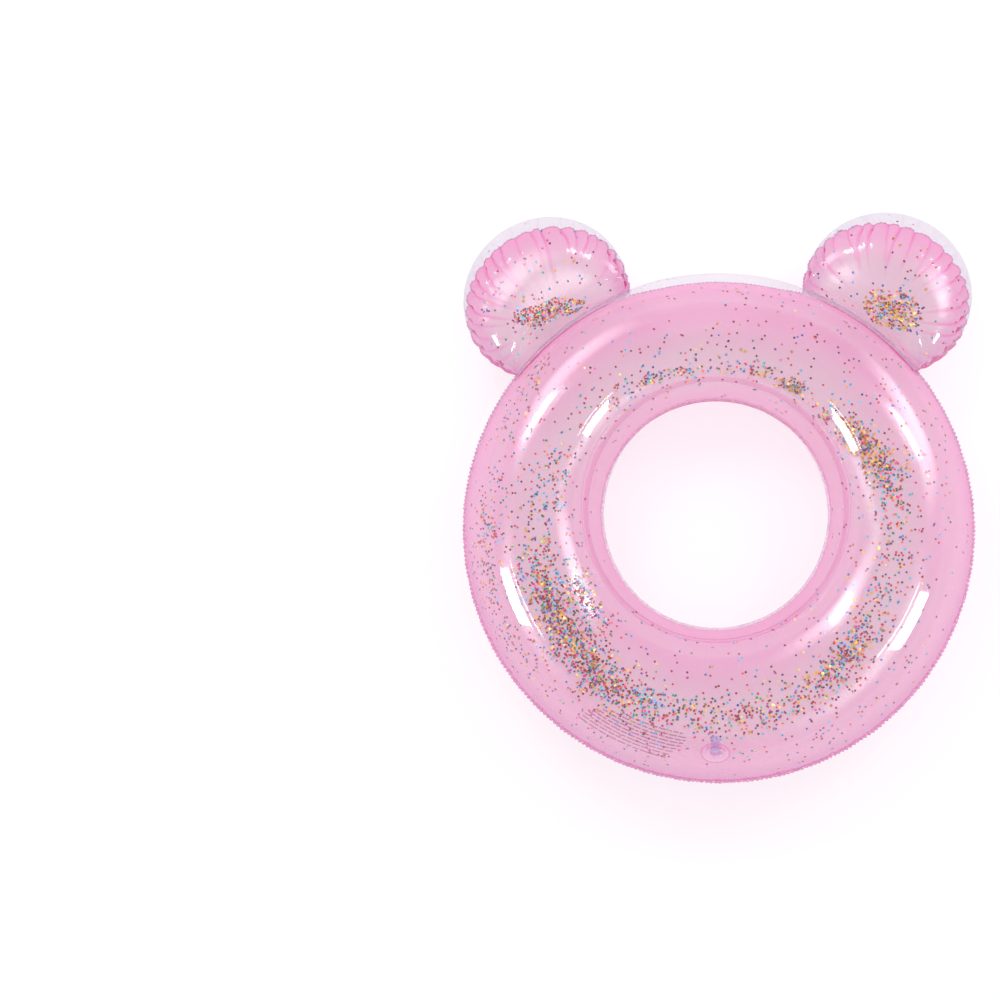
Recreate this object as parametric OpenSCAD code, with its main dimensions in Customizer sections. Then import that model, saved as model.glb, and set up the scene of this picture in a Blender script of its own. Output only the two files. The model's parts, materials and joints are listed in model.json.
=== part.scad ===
// Inflatable swim ring with two round ears, clear front film, tinted back film,
// a push-in air valve and loose glitter. Millimetres. The origin is the ring's
// centre in the plane of the welds, +Z points out of the clear front film and
// +Y points towards the ears.

/* [Ring] */
// Outside diameter over the outer weld of the ring
ring_d = 657; // [600:1:720]
// Diameter of the hole inside the inner weld
hole_d = 289; // [260:1:310]
// Width of the flat weld flange
weld_w = 4; // [3:0.5:5]
// Depth by which the tube flattens where it rests
rest_flat = 1.2; // [0.8:0.1:2]
// Thickness of the PVC film
film_t = 0.3; // [0.2:0.05:0.4]

/* [Ears] */
// Outside diameter of an ear over its weld
ear_d = 224; // [200:1:240]
// Distance of an ear's centre from the ring's centre
ear_reach = 376; // [366:1:386]
// Angle of an ear's centre from the ring's sideways axis
ear_angle = 53.4; // [50:0.1:58]
// Angle by which an ear hangs back from the ring's plane
ear_droop = 11; // [0:1:14]
// Half of an ear's greatest thickness
ear_half = 62; // [56:1:66]
// Width of the air passage through the arc weld of an ear
air_w = 14; // [8:1:20]

/* [Valve] */
// Angle of the valve below the weld plane, round the tube
valve_angle = 46; // [40:1:55]
// Radius of the valve's welded flange
flange_r = 19.5; // [18:0.5:19.5]
// Outside radius of the stem tube
stem_r = 6; // [5.8:0.1:6]
// Bore radius of the stem tube
bore_r = 4.6; // [4.6:0.1:4.8]
// Length of the stem tube below its mouth
stem_l = 23; // [20:1:24]

/* [Glitter] */
// Flakes of each kind in the ring
ring_flakes = 40; // [10:1:48]
// Flakes of each kind in each ear
ear_flakes = 5; // [2:1:6]
// Radius of a round glitter dot
dot_r = 1.1; // [0.9:0.1:1.3]
// Radius of a star flake, to its points
star_r = 2.8; // [2:0.1:3.2]
// Width of one lobe of a heart flake
lobe_d = 2.8; // [2:0.1:3]
// Thickness of every flake
flake_t = 0.15; // [0.1:0.01:0.2]

/* [Hidden] */
$fn = 96;

// Tube radius, and the radius of the tube's centre circle
tube_r = (ring_d - hole_d) / 4 - weld_w;
ring_c = (ring_d + hole_d) / 4;
out_eq = ring_c + tube_r;   // where the films meet at the outer weld
in_eq = ring_c - tube_r;    // where the films meet at the inner weld
weld_t = 2 * film_t;
// Ear pillow: a side arc and a flatter top arc
ear_eq = ear_d / 2 - weld_w;
side_r = 50;
crown_r = 180;
// The ear starts here, seen from the ring's centre
arc_r = ring_d / 2 + 0.6;
groove_r = 84;
ear_half_angle = acos((ear_reach * ear_reach + pow(ring_d / 2, 2) - pow(ear_d / 2, 2))
    / (ear_reach * ring_d));
// Half of the angle of the ear's outline that faces the ring, seen from the ear's centre
ear_gap_angle = atan2(ring_d / 2 * sin(ear_half_angle),
    ear_reach - ring_d / 2 * cos(ear_half_angle));
big = 900;

clear_col = [0.93, 0.95, 0.97, 0.35];
pink_col = [0.92, 0.52, 0.76, 0.75];
weld_col = [0.86, 0.50, 0.72];
valve_col = [0.82, 0.90, 0.94, 0.8];

// ---------- shared placement ----------

// From the valve's frame to the ring's: +Z out of the back film, +X along the ring
module at_valve() {
    translate([0, -(ring_c + tube_r * cos(valve_angle)), -tube_r * sin(valve_angle)])
        rotate([90 + valve_angle, 0, 0]) children();
}

// side is -1 for the left ear and 1 for the right ear; an ear hangs back at its arc weld
module at_ear(side) {
    rotate([0, 0, 90 - side * (90 - ear_angle)]) translate([arc_r, 0, 0])
        rotate([0, ear_droop, 0]) translate([ear_reach - arc_r, 0, 0]) children();
}

// ---------- ring ----------

// Section of the tube, d inside its outer face, with the flat it rests on
module tube_section(d) {
    intersection() {
        circle(r = tube_r - d);
        translate([-tube_r, -(tube_r - rest_flat - d)]) square([2 * tube_r, 2 * tube_r]);
    }
}

// upper picks the front half of the shell, otherwise the back half
module ring_shell(upper) {
    rotate_extrude($fn = 180) translate([ring_c, 0]) intersection() {
        difference() { tube_section(0); tube_section(film_t); }
        translate([-tube_r - 5, upper ? 0 : -tube_r - 5]) square([2 * tube_r + 10, tube_r + 5]);
    }
}

// Slot where an arc weld leaves the air through to the ear
module air_slot(side) {
    rotate([0, 0, 90 - side * (90 - ear_angle)])
        translate([out_eq - 6, -air_w / 2, -2.5]) cube([22, air_w, 5]);
}

module ring_front_film() {
    color(clear_col) difference() {
        ring_shell(true);
        air_slot(-1);
        air_slot(1);
    }
}

module ring_back_film() {
    color(pink_col) difference() {
        ring_shell(false);
        air_slot(-1);
        air_slot(1);
        at_valve() translate([0, 0, -12]) cylinder(h = 20, r = 17);
    }
}

module flat_ring(r_out, r_in, t) {
    difference() {
        translate([0, 0, -t / 2]) cylinder(h = t, r = r_out, $fn = 180);
        translate([0, 0, -t]) cylinder(h = 2 * t, r = r_in, $fn = 180);
    }
}

// Prism over the angles that an ear takes from the ring's outline
module ear_sector(side, grow) {
    a = ear_half_angle + grow;
    rotate([0, 0, 90 - side * (90 - ear_angle)]) translate([0, 0, -5]) linear_extrude(10)
        polygon([[0, 0], [big * cos(a), -big * sin(a)], [big * cos(a), big * sin(a)]]);
}

module outer_weld_seam() {
    color(weld_col) difference() {
        flat_ring(ring_d / 2, out_eq + 0.02, weld_t);
        ear_sector(-1, 0.1);
        ear_sector(1, 0.1);
    }
}

module inner_weld_seam() {
    color(weld_col) flat_ring(in_eq - 0.02, hole_d / 2, weld_t);
}

// ---------- ears ----------

// Solid pillow, d inside the outer face of the film, about the ear's own axis
module ear_pillow(d) {
    rotate_extrude($fn = 120) intersection() {
        union() {
            translate([ear_eq - side_r, 0]) circle(r = side_r - d);
            intersection() {
                translate([0, ear_half - crown_r]) circle(r = crown_r - d, $fn = 180);
                translate([0, crown_r - ear_half]) circle(r = crown_r - d, $fn = 180);
                translate([0, -100]) square([ear_eq - side_r + 20, 200]);
            }
        }
        translate([0, -100]) square([200, 200]);
    }
}

// Space outside the arc weld: it rounds over towards the ring, about the ring's axis
module ear_side(d) {
    rotate_extrude($fn = 180) union() {
        translate([arc_r + groove_r, 0]) circle(r = groove_r - d);
        translate([arc_r + groove_r, -(groove_r - d)]) square([200, 2 * (groove_r - d)]);
    }
}

module ear_solid(side, d) {
    intersection() {
        at_ear(side) ear_pillow(d);
        ear_side(d);
    }
}

module ear_film(side, upper) {
    difference() {
        intersection() {
            ear_solid(side, 0);
            at_ear(side) translate([-200, -200, upper ? 0 : -100]) cube([400, 400, 100]);
        }
        ear_solid(side, film_t);
        air_slot(side);
    }
}

module left_ear_front_film() { color(clear_col) ear_film(-1, true); }
module left_ear_back_film() { color(pink_col) ear_film(-1, false); }
module right_ear_front_film() { color(clear_col) ear_film(1, true); }
module right_ear_back_film() { color(pink_col) ear_film(1, false); }

// The flange leaves out the side of the outline that faces the ring
module ear_weld(side) {
    a = ear_gap_angle + 0.6;
    at_ear(side) difference() {
        flat_ring(ear_d / 2, ear_eq + 0.02, weld_t);
        translate([0, 0, -5]) linear_extrude(10)
            polygon([[0, 0], [-big * cos(a), big * sin(a)], [-big * cos(a), -big * sin(a)]]);
    }
}

module left_ear_weld_seam() { color(weld_col) ear_weld(-1); }
module right_ear_weld_seam() { color(weld_col) ear_weld(1); }

// The weld between the ring and an ear, in two runs with the air passage between
module arc_weld(side) {
    difference() {
        intersection() {
            flat_ring(ring_d / 2 + 0.25, out_eq + 0.02, weld_t);
            ear_sector(side, 0);
        }
        air_slot(side);
    }
}

module left_arc_weld() { color(clear_col) arc_weld(-1); }
module right_arc_weld() { color(clear_col) arc_weld(1); }

// ---------- valve, in its own frame, pushed in ----------

face_z = -2.6;      // outer face of the flange below the crown of the film
floor_z = -4.8;     // floor of the flange's round recess
mouth_z = -2.9;     // mouth of the stem
pivot_x = 9.5;      // fold of the tether
pivot_z = -2.1;
flap_x = 6.2;       // fold of the check flap
flap_z = mouth_z - stem_l - 1;

module valve_flange() {
    color(valve_col) at_valve() difference() {
        union() {
            translate([0, 0, face_z - 0.8]) cylinder(h = 0.8, r = flange_r);
            translate([0, 0, floor_z - 0.8]) cylinder(h = face_z - floor_z + 0.8, r = 13);
            translate([0, 0, floor_z - 4]) cylinder(h = 4, r = stem_r + 1.3);
        }
        translate([0, 0, floor_z]) cylinder(h = 10, r = 12);
        translate([0, 0, floor_z - 10]) cylinder(h = 20, r = stem_r + 0.08);
    }
}

module valve_stem() {
    color(valve_col) at_valve() union() {
        difference() {
            union() {
                translate([0, 0, mouth_z - stem_l]) cylinder(h = stem_l, r = stem_r);
                translate([0, 0, mouth_z - 1]) cylinder(h = 1, r = stem_r + 1);
                translate([0, 0, mouth_z - stem_l]) cylinder(h = 1, r = stem_r + 1);
                // lug under the fold of the tether
                translate([stem_r, -2, mouth_z - 0.9]) cube([pivot_x - stem_r, 4, 0.9]);
                translate([pivot_x, 2, pivot_z]) rotate([90, 0, 0]) cylinder(h = 4, r = 0.9);
            }
            translate([0, 0, mouth_z - stem_l - 1]) cylinder(h = stem_l + 2, r = bore_r);
        }
    }
}

module valve_plug() {
    color(valve_col) at_valve() union() {
        translate([0, 0, mouth_z + 0.3]) cylinder(h = 1.6, r = 6.6);
        translate([0, 0, mouth_z - 5.1]) cylinder(h = 5.5, r1 = 3.2, r2 = 4.5);
    }
}

module plug_tether() {
    color(valve_col) at_valve() difference() {
        union() {
            translate([5, -1.9, pivot_z - 0.2]) cube([pivot_x - 6.2, 3.8, 0.8]);
            intersection() {
                translate([pivot_x, 1.9, pivot_z]) rotate([90, 0, 0]) cylinder(h = 3.8, r = 1.6);
                translate([pivot_x - 2, -2, pivot_z - 0.2]) cube([1.7, 4, 2]);
            }
        }
        translate([pivot_x, 3, pivot_z]) rotate([90, 0, 0]) cylinder(h = 6, r = 1.0);
        translate([0, 0, -6]) cylinder(h = 10, r = 6.6);
    }
}

module check_flap() {
    color(valve_col) at_valve() union() {
        translate([0, 0, flap_z]) cylinder(h = 0.5, r = 5.4);
        translate([4.6, -1.5, flap_z]) cube([flap_x - 4.6, 3, 0.5]);
        translate([flap_x, 1.5, flap_z]) rotate([90, 0, 0]) cylinder(h = 3, r = 0.5);
    }
}

// ---------- glitter ----------

kinds = 8;
total = kinds * ring_flakes;
lie = tube_r - film_t - 0.5;                      // flakes lie this far from the tube's centre
flat_lie = -(tube_r - rest_flat - film_t - 0.15); // and at this height on the flat

function frac(v) = v - floor(v);
// Angle of flake j up the side of the tube, spread evenly with no neighbours alike
function lean(j) = -38 + 76 * frac(j * 0.618034);

module ring_flake(j) {
    a = lean(j);
    rotate([0, 0, 360 * j / total + 0.7]) translate([ring_c, 0, 0])
        if (abs(a) < 13) translate([lie * sin(a * 0.5), 0, flat_lie]) rotate([0, 0, 47 * j]) children();
        else rotate([0, -a, 0]) translate([0, 0, -lie]) rotate([0, 0, 47 * j]) children();
}

// Flake j of an ear lies on the back film, in a spiral on the ear's far side
module ear_flake(side, j) {
    s = 3 + 5 * sqrt(j);
    x = 36 + 0.75 * s * cos(137.508 * j);
    y = 1.25 * s * sin(137.508 * j);
    a = asin(norm([x, y]) / (crown_r - film_t - 0.6));
    at_ear(side) translate([0, 0, crown_r - ear_half]) rotate([0, 0, atan2(y, x)])
        rotate([0, -a, 0]) translate([0, 0, -(crown_r - film_t - 0.6)])
            rotate([0, 0, 31 * j]) children();
}

module flakes(kind) {
    for (i = [0 : ring_flakes - 1]) ring_flake(i * kinds + kind) children();
    for (side = [-1, 1]) for (i = [0 : ear_flakes - 1]) ear_flake(side, i * kinds + kind) children();
}

module dot() { cylinder(h = flake_t, r = dot_r, $fn = 24); }

module star() {
    linear_extrude(flake_t) polygon([for (i = [0 : 9])
        (i % 2 == 0 ? star_r : star_r * 0.42) * [cos(36 * i), sin(36 * i)]]);
}

module heart() {
    linear_extrude(flake_t) rotate(45) union() {
        translate([-lobe_d / 2, -lobe_d / 2]) square(lobe_d);
        translate([0, lobe_d / 2]) circle(d = lobe_d, $fn = 24);
        translate([lobe_d / 2, 0]) circle(d = lobe_d, $fn = 24);
    }
}

module dark_red_glitter() { color([0.45, 0.05, 0.10]) flakes(0) dot(); }
module red_glitter() { color([0.85, 0.10, 0.15]) flakes(1) dot(); }
module blue_glitter() { color([0.10, 0.25, 0.75]) flakes(2) dot(); }
module cyan_glitter() { color([0.20, 0.65, 0.80]) flakes(3) dot(); }
module green_glitter() { color([0.10, 0.55, 0.30]) flakes(4) dot(); }
module purple_glitter() { color([0.45, 0.20, 0.65]) flakes(5) dot(); }
module gold_stars() { color([0.90, 0.72, 0.30]) flakes(6) star(); }
module gold_hearts() { color([0.92, 0.74, 0.36]) flakes(7) heart(); }

// ---------- one line for each node ----------

ring_front_film();
ring_back_film();
outer_weld_seam();
inner_weld_seam();
left_ear_front_film();
left_ear_back_film();
left_ear_weld_seam();
left_arc_weld();
right_ear_front_film();
right_ear_back_film();
right_ear_weld_seam();
right_arc_weld();
valve_flange();
valve_stem();
valve_plug();
plug_tether();
check_flap();
dark_red_glitter();
red_glitter();
blue_glitter();
cyan_glitter();
green_glitter();
purple_glitter();
gold_stars();
gold_hearts();
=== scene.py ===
"""Looks of the inflatable pool float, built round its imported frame. Lengths here are millimetres until a mesh is made."""

import json
import math

import bpy
import numpy as np
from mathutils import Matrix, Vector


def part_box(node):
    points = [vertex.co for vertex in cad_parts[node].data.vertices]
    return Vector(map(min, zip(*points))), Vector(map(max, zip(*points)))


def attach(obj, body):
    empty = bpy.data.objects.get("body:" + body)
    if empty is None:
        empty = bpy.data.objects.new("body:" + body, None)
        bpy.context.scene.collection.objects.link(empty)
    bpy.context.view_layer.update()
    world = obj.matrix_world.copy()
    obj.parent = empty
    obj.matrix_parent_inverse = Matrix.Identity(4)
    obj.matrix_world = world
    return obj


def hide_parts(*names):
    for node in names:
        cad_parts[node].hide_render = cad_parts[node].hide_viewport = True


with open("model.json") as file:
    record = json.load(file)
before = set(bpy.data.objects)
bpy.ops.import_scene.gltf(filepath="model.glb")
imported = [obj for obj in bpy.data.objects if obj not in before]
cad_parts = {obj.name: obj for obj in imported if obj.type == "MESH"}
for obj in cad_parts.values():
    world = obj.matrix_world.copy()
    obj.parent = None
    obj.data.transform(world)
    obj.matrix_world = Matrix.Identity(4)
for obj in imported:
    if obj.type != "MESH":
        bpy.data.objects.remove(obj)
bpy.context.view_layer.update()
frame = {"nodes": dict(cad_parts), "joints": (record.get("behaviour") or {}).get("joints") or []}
MM = 0.001
rng = np.random.default_rng(20)


# ---------- camera ----------

CAM_D, CAM_TILT, CAM_F, AIM = 2500.0, math.radians(13), 1931.0, (715.1, 517.5)
cam_pos = CAM_D * np.array([0, -math.sin(CAM_TILT), math.cos(CAM_TILT)])
fw = -cam_pos / CAM_D
up = np.array([0, math.cos(CAM_TILT), math.sin(CAM_TILT)])
rt = np.cross(fw, up)
cu, cv = (AIM[0] - 500) / CAM_F, -(AIM[1] - 500) / CAM_F
yaw, pit = -math.atan2(cu, 1), -math.atan2(cv, math.hypot(1, cu))
f2, r2 = math.cos(yaw) * fw + math.sin(yaw) * rt, -math.sin(yaw) * fw + math.cos(yaw) * rt
f3, u3 = math.cos(pit) * f2 + math.sin(pit) * up, -math.sin(pit) * f2 + math.cos(pit) * up
cam_data = bpy.data.cameras.new("camera")
cam_data.sensor_width = 36.0
cam_data.lens = CAM_F * 36.0 / 1000
cam_data.clip_start, cam_data.clip_end = 0.05, 60
cam = bpy.data.objects.new("camera", cam_data)
bpy.context.scene.collection.objects.link(cam)
from mathutils import Matrix, Vector
cam.matrix_world = Matrix((
    (r2[0], u3[0], -f3[0], cam_pos[0] * MM),
    (r2[1], u3[1], -f3[1], cam_pos[1] * MM),
    (r2[2], u3[2], -f3[2], cam_pos[2] * MM),
    (0, 0, 0, 1)))
bpy.context.scene.camera = cam


# ---------- sizes, read from the frame ----------

ring_lo, ring_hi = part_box("ring_front_film")
OUT_EQ, TUBE = ring_hi.x / MM, ring_hi.z / MM          # the tube meets the outer weld here
RC = OUT_EQ - TUBE                                      # centre circle of the tube
FLOOR_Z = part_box("ring_back_film")[0].z / MM
RX, RY = RC * 0.9937, RC * 1.0224                       # blown up, the ring is a touch longer towards its ears
STRETCH = RY / RX

joints = {j["name"]: j for j in frame["joints"]}
VN = np.array(joints["stem_slide"]["axis"], float)      # valve's outward axis
VN /= np.linalg.norm(VN)
plug = joints["plug_hinge"]
VV = np.array(plug["axis"], float)
VU = np.cross(VV, VN)
# the crown of the film at the valve, from the fold of the plug's tether: 9.5 across, 2.1 under it
VA = np.array(plug["pos_m"], float) / MM - 9.5 * VU + 2.1 * VN


def smooth(a, b, x):
    t = np.clip((np.asarray(x, float) - a) / (b - a), 0, 1)
    return t * t * (3 - 2 * t)


def lumps(x, seed, n=5, low=1.0, high=6.0):
    """A smooth random function of an angle, about -1 to 1, the same at 0 and 2 pi."""
    g = np.random.default_rng(seed)
    out = 0
    for k in range(n):
        f = int(round(low + (high - low) * k / max(1, n - 1)))
        out = out + g.normal() * np.sin(f * x + g.uniform(0, 6.28)) / math.sqrt(k + 1)
    return out / math.sqrt(n)


# ---------- pleats: where a flat film gathers along a weld ----------

class Pleats:
    """Pinches along a weld at uneven steps. Position is a length along the weld."""

    def __init__(self, length, pitch, seed, closed=True, jitter=0.22):
        g = np.random.default_rng(seed)
        n = max(3, int(round(length / pitch)))
        p = (np.arange(n) + (0 if closed else 0.5)) * length / n
        p = p + g.uniform(-jitter, jitter, n) * length / n
        self.length, self.closed = length, closed
        self.p = np.sort(p)
        self.depth = g.uniform(0.55, 1.25, n)
        self.reach = g.uniform(0.6, 1.5, n)
        self.lean = g.normal(0, 0.16, n)

    def near(self, s):
        """Index of the nearest pinch and the signed way from it, and the phase 0..1 between two pinches."""
        s = np.asarray(s, float)
        p = self.p
        if self.closed:
            ext = np.concatenate([[p[-1] - self.length], p, [p[0] + self.length]])
            idx = np.concatenate([[len(p) - 1], np.arange(len(p)), [0]])
            s = np.mod(s, self.length)
        else:
            ext = np.concatenate([[p[0] - (p[1] - p[0])], p, [p[-1] + (p[-1] - p[-2])]])
            idx = np.concatenate([[0], np.arange(len(p)), [len(p) - 1]])
        k = np.clip(np.searchsorted(ext, s) - 1, 0, len(ext) - 2)
        a, b = ext[k], ext[k + 1]
        f = np.clip((s - a) / (b - a), 0, 1)
        use = np.where(f < 0.5, k, k + 1)
        return idx[use], s - ext[use], f


# ---------- the ring ----------

def top_share(th):
    """1 at the ring's top between the ears, where the clear film bulges past the weld."""
    t = np.degrees(np.mod(th, 2 * np.pi))
    return smooth(62, 78, t) * (1 - smooth(102, 118, t))


def tube_radius(th, outer=True):
    return TUBE + 0.9 - 6.1 * np.sin(th) - (5.6 * top_share(th) if outer else 0)


def ring_centre(th):
    n = np.stack([np.cos(th) / RX, np.sin(th) / RY], -1)
    n = n / np.linalg.norm(n, axis=-1, keepdims=True)
    return np.stack([RX * np.cos(th), RY * np.sin(th)], -1), n


OUT_LEN = 2 * math.pi * (RC + TUBE)
ring_pleats = Pleats(OUT_LEN, 12.5, 3, jitter=0.3)
ring_wide = Pleats(OUT_LEN, 47.0, 4, jitter=0.35)
inner_pleats = Pleats(2 * math.pi * (RC - TUBE), 34.0, 5, jitter=0.35)


def ring_surface(th, ph, sign):
    """Point and outward normal of the ring's film. ph runs from 0 at the outer weld to pi at the inner one."""
    th, ph = np.broadcast_arrays(np.asarray(th, float), np.asarray(ph, float))
    c, n = ring_centre(th)
    co, si = np.cos(ph), np.sin(ph)
    r = np.where(co > 0, tube_radius(th), tube_radius(th, False))
    lobe = 0.45 * lumps(th, 11, 6, 2, 9) * np.sin(ph) ** 2
    off = (r + lobe) * co
    if sign > 0:
        off = off + 7.4 * top_share(th) * np.sin(math.pi * np.clip(TUBE * si / 60, 0, 1)) * (co > 0)
    z = (TUBE + lobe) * si * sign
    p = np.stack([c[..., 0] + n[..., 0] * off, c[..., 1] + n[..., 1] * off, z], -1)
    nn = np.stack([n[..., 0] * co, n[..., 1] * co, si * sign * r / TUBE], -1)
    nn = nn / np.linalg.norm(nn, axis=-1, keepdims=True)
    # pleats at the outer weld: short ones everywhere, a few long ones
    s = th / (2 * math.pi) * OUT_LEN
    d = ph * 88.0
    i, x, f = ring_pleats.near(s + 0.12 * d)
    w = 1.5 + 0.16 * d
    short = -1.15 * ring_pleats.depth[i] * np.exp(-((x / w) ** 2)) * np.exp(-d / (5.5 * ring_pleats.reach[i]))
    bulge = 0.35 * np.sin(math.pi * f) * np.exp(-d / 9)
    i, x, f = ring_wide.near(s - 0.1 * d)
    w = 2.6 + 0.13 * d
    wide = -1.5 * ring_wide.depth[i] * np.exp(-((x / w) ** 2)) * np.exp(-d / (13 * ring_wide.reach[i])) * smooth(0, 3, d)
    # softer ones at the inner weld
    di = (math.pi - ph) * 88.0
    si_ = th / (2 * math.pi) * inner_pleats.length
    i, x, f = inner_pleats.near(si_ + 0.2 * di)
    w = 3.0 + 0.2 * di
    inner = -0.7 * inner_pleats.depth[i] * np.exp(-((x / w) ** 2)) * np.exp(-di / (14 * inner_pleats.reach[i])) * smooth(0, 4, di)
    p = p + nn * (short + bulge + wide + inner)[..., None]
    if sign < 0:
        # the film sinks to the valve's welded flange
        q = p - VA
        a = q @ VN
        rad = np.linalg.norm(q - a[..., None] * VN, axis=-1)
        near = (a > -60) & (rad < 80)
        k = (1 - smooth(21, 62, rad)) * near
        p = p + (k * (-2.42 - a))[..., None] * VN
        # and lies flat where the tube rests
        low = FLOOR_Z + 0.15
        p[..., 2] = low + 0.5 * (p[..., 2] - low + np.sqrt((p[..., 2] - low) ** 2 + 0.5))
    return p, nn


# ---------- the ears ----------

EAR_LO, EAR_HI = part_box("right_ear_weld_seam")
EAR_AL = math.radians(52.7)
EAR_E = 372.0
DROOP = math.radians(11.0)
ARC = 322.4                       # the ear starts here, before the stretch
EAR = {-1: dict(a=112.5, seed=31), 1: dict(a=110.1, seed=57)}
GROOVE = 96.0                      # the films of an ear rise over this width from its curved weld
for side, e in EAR.items():
    e["xc"] = (EAR_E ** 2 + ARC ** 2 - e["a"] ** 2) / (2 * EAR_E)
    e["yc"] = math.sqrt(ARC ** 2 - e["xc"] ** 2)
    e["half"] = math.pi - math.atan2(e["yc"], EAR_E - e["xc"])    # outer arc runs from -half to half, seen from the ear's centre
    e["len"] = 2 * e["half"] * e["a"]
    e["pleats"] = Pleats(e["len"], 21.0, e["seed"], closed=False, jitter=0.24)
    e["fine"] = Pleats(e["len"], 9.0, e["seed"] + 1, closed=False, jitter=0.3)


def ear_back(side, x, y):
    """How far an ear's weld lies behind the ear's middle plane, and the share of the bulge past it."""
    e = EAR[side]
    rho = np.hypot(x - EAR_E, y)
    al = np.arctan2(y, x - EAR_E)
    w = (0.5 + 0.5 * np.cos(np.clip((al - side * 0.15) / (0.92 * e["half"]), -1, 1) * math.pi)) ** 0.8
    return -9.5 * w * np.clip(rho / e["a"], 0, 1) ** 4, w


def ear_flat(side, x, y, sign):
    """Height of an ear's film over its own plane, without its pleats and corner folds, before it hangs back.
    x runs out from the ring's centre through the ear's, y across."""
    e = EAR[side]
    a = e["a"]
    rho = np.hypot(x - EAR_E, y)
    al = np.arctan2(y, x - EAR_E)
    d_out = np.maximum(a - rho, 0)
    d_arc = np.maximum(np.hypot(x, y) - ARC, 0)
    h1 = 69.0 * np.clip(1 - (np.minimum(rho / a, 1)) ** 2.3, 0, 1) ** 0.46
    g = np.minimum(d_arc / GROOVE, 1)
    h2 = 70.0 * np.sqrt(np.maximum(1 - (1 - g) ** 2, 0))
    m = 4.0
    h = (np.maximum(h1, 1e-6) ** -m + np.maximum(h2, 1e-6) ** -m) ** (-1 / m)
    return h * sign, d_out, d_arc, al


def ear_surface(side, x, y, sign):
    """Point of an ear's film, pleats and all, in the ring's frame."""
    e = EAR[side]
    x, y = np.asarray(x, float), np.asarray(y, float)
    h, d_out, d_arc, al = ear_flat(side, x, y, sign)
    s = (al + e["half"]) * e["a"]
    # slope of the base surface, for moving points along its normal
    eps = 0.6
    hx = (ear_flat(side, x + eps, y, sign)[0] - ear_flat(side, x - eps, y, sign)[0]) / (2 * eps)
    hy = (ear_flat(side, x, y + eps, sign)[0] - ear_flat(side, x, y - eps, sign)[0]) / (2 * eps)
    n = np.stack([-hx * sign, -hy * sign, np.full_like(hx, sign)], -1)
    n = n / np.linalg.norm(n, axis=-1, keepdims=True)
    run = np.sqrt(np.maximum(d_out, 0)) * 8 + d_out * 0.6          # length along the film from the weld, nearly
    corner = smooth(0, 22, d_arc + 0.0)
    i, t, f = e["pleats"].near(s)
    t = t + e["pleats"].lean[i] * run
    w = 1.6 + 0.085 * run
    deep = e["pleats"].depth[i] * np.exp(-((t / w) ** 2))
    disp = -3.1 * deep * np.exp(-run / (24 * e["pleats"].reach[i]))
    disp = disp + 1.5 * (np.sin(math.pi * f) ** 1.2) * np.exp(-run / 26)
    i, t, f = e["fine"].near(s)
    disp = disp - 0.7 * e["fine"].depth[i] * np.exp(-((t / (1.2 + 0.1 * run)) ** 2)) * np.exp(-run / 8)
    disp = disp * corner
    if sign > 0:
        # blown tight, the clear film is smooth away from its weld
        disp = disp * 0.45 * np.exp(-run / 22)
    # folds that fan out from the two corners
    for cy in (-1, 1):
        cx0, cy0 = e["xc"], cy * e["yc"]
        ux, uy = EAR_E - 8 - cx0, -cy0
        for turn, amp, reach in ((-0.33, 2.4, 44), (0.12, -1.3, 52), (0.42, 1.2, 34), (-0.62, -1.1, 30)):
            an = math.atan2(uy, ux) + turn * cy
            px, py = x - cx0, y - cy0
            along = px * math.cos(an) + py * math.sin(an)
            across = -px * math.sin(an) + py * math.cos(an) - 0.0022 * cy * along ** 2
            ridge = np.exp(-((across / (1.3 + 0.055 * np.maximum(along, 0))) ** 2))
            disp = disp + amp * ridge * smooth(2, 14, along) * (1 - smooth(reach * 0.45, reach * 1.25, along)) * (0.5 if sign > 0 else 0.8)
    back, w = ear_back(side, x, y)
    if sign > 0:
        back = back * (1 - smooth(0, 30, np.abs(h)))
    over = (0.8 if sign > 0 else 0.5) * w * np.sin(math.pi * np.clip(np.abs(h) / 44, 0, 1)) * smooth(0.6, 0.95, np.hypot(x - EAR_E, y) / e["a"])
    px = x + n[..., 0] * disp + np.cos(al) * over
    py = y + n[..., 1] * disp + np.sin(al) * over
    pz = h + n[..., 2] * disp + back
    return ear_place(side, px, py, pz)


def ear_place(side, px, py, pz):
    """Hangs points of an ear back about its curved weld and puts them in the ring's frame."""
    rho = np.hypot(px, py)
    psi = np.arctan2(py, px)
    d = rho - ARC
    rho2 = ARC + d * math.cos(DROOP) + pz * math.sin(DROOP)
    z2 = -d * math.sin(DROOP) + pz * math.cos(DROOP)
    ang = psi + (math.pi / 2 - side * (math.pi / 2 - EAR_AL))
    return np.stack([rho2 * np.cos(ang), rho2 * np.sin(ang) * STRETCH, z2], -1)


# ---------- mesh making ----------

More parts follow.
